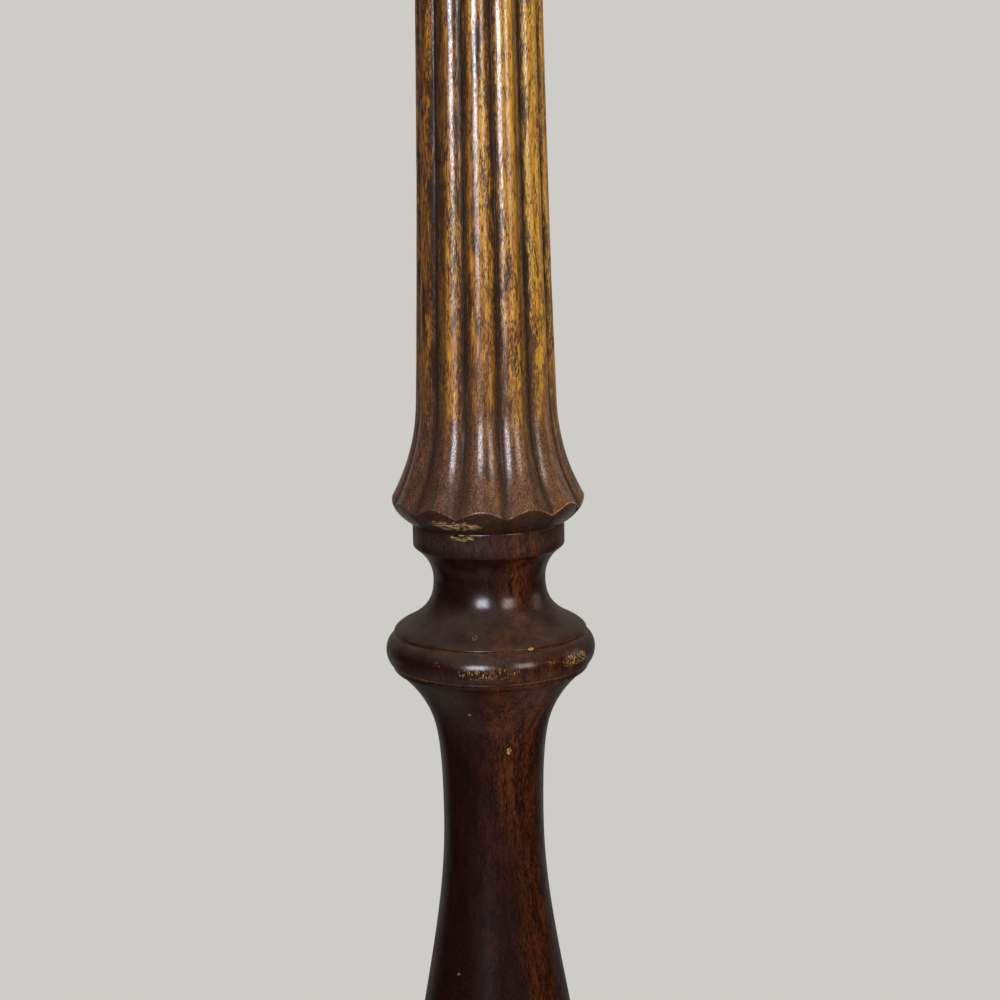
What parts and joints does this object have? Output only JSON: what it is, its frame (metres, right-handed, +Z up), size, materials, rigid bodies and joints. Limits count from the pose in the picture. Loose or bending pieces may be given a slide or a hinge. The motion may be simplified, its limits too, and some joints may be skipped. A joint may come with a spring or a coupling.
{
  "type": "floor lamp",
  "caption": "Turned wooden candlestick floor lamp with a reeded flared column, baluster stem, weighted round base, keyed socket, harp and cone shade.",
  "frame": {"origin": "on the floor under the middle of the base, on the stem's axis", "axes": "+Z up along the stem; -Y is the front, where the switch key is; +Y is the back, where the cord leaves the base; the harp stands in the XZ plane"},
  "size_m": [0.4331, 0.4332, 1.5236],
  "materials": {
    "dark_wood": "dark stain under gloss lacquer, worn at the edges",
    "amber_wood": "amber lacquer, darker in the grooves and at the flare",
    "brass": "lacquered, lightly aged",
    "steel": "zinc plated",
    "iron": "rough cast",
    "felt": "wool felt",
    "phenolic": "moulded",
    "nickel": "rolled thread shell",
    "card": "pressed card",
    "clear_glass": "blown",
    "tungsten": "drawn wire",
    "liner": "white styrene",
    "linen": "plain weave",
    "tape": "folded tape"
  },
  "bodies": {
    "stand": {"foot_1": "dark_wood", "foot_2": "dark_wood", "foot_3": "dark_wood", "base_disc": "dark_wood", "base_riser": "dark_wood", "baluster_stem": "dark_wood", "capital": "dark_wood", "candle_cup": "dark_wood", "reeded_column": "amber_wood", "foot_pad_1": "felt", "foot_pad_2": "felt", "foot_pad_3": "felt", "baize_cover": "felt", "ballast_weight": "iron", "ballast_screws": "steel", "bottom_washer": "steel", "bottom_nut": "steel", "lower_pipe": "steel", "upper_pipe": "steel", "socket_set_screw": "steel", "pipe_coupling": "brass", "check_ring": "brass", "harp_saddle": "brass", "socket_cap": "brass", "socket_shell": "brass", "centre_contact": "brass", "terminal_screws": "brass", "cord_bush": "phenolic", "socket_body": "phenolic", "insulating_sleeve": "card", "screw_shell": "nickel"},
    "harp": {"harp_bow": "brass", "harp_stud": "brass"},
    "left_sleeve": {"harp_sleeve_left": "brass"},
    "right_sleeve": {"harp_sleeve_right": "brass"},
    "shade": {"shade_spider": "brass", "shade_bottom_ring": "brass", "shade_liner": "liner", "shade_linen": "linen", "shade_tape_top": "tape", "shade_tape_bottom": "tape"},
    "finial": {"finial": "brass"},
    "bulb": {"bulb_glass": "clear_glass", "bulb_cap": "nickel", "bulb_insulator": "phenolic", "bulb_contact": "brass", "bulb_mount": "clear_glass", "bulb_filament": "tungsten"},
    "switch": {"switch_shaft": "steel", "switch_key": "phenolic"}
  },
  "joints": [
    {"name": "harp_lift", "type": "slide", "parent": "stand", "child": "harp", "axis": [0, 0, 1], "range_m": [0, 0.02]},
    {"name": "left_sleeve_lift", "type": "slide", "parent": "harp", "child": "left_sleeve", "axis": [0, 0, 1], "range_m": [0, 0.012]},
    {"name": "right_sleeve_lift", "type": "slide", "parent": "harp", "child": "right_sleeve", "axis": [0, 0, 1], "range_m": [0, 0.012]},
    {"name": "shade_turn", "type": "hinge", "parent": "harp", "child": "shade", "pos_m": [0, 0, 1.4857], "axis": [0, 0, 1], "continuous": true},
    {"name": "finial_turn", "type": "hinge", "parent": "harp", "child": "finial", "pos_m": [0, 0, 1.4876], "axis": [0, 0, 1], "continuous": true},
    {"name": "bulb_turn", "type": "hinge", "parent": "stand", "child": "bulb", "pos_m": [0, 0, 1.2944], "axis": [0, 0, 1], "continuous": true},
    {"name": "switch_turn", "type": "hinge", "parent": "stand", "child": "switch", "pos_m": [0, -0.0157, 1.2826], "axis": [0, -1, 0], "continuous": true}
  ]
}
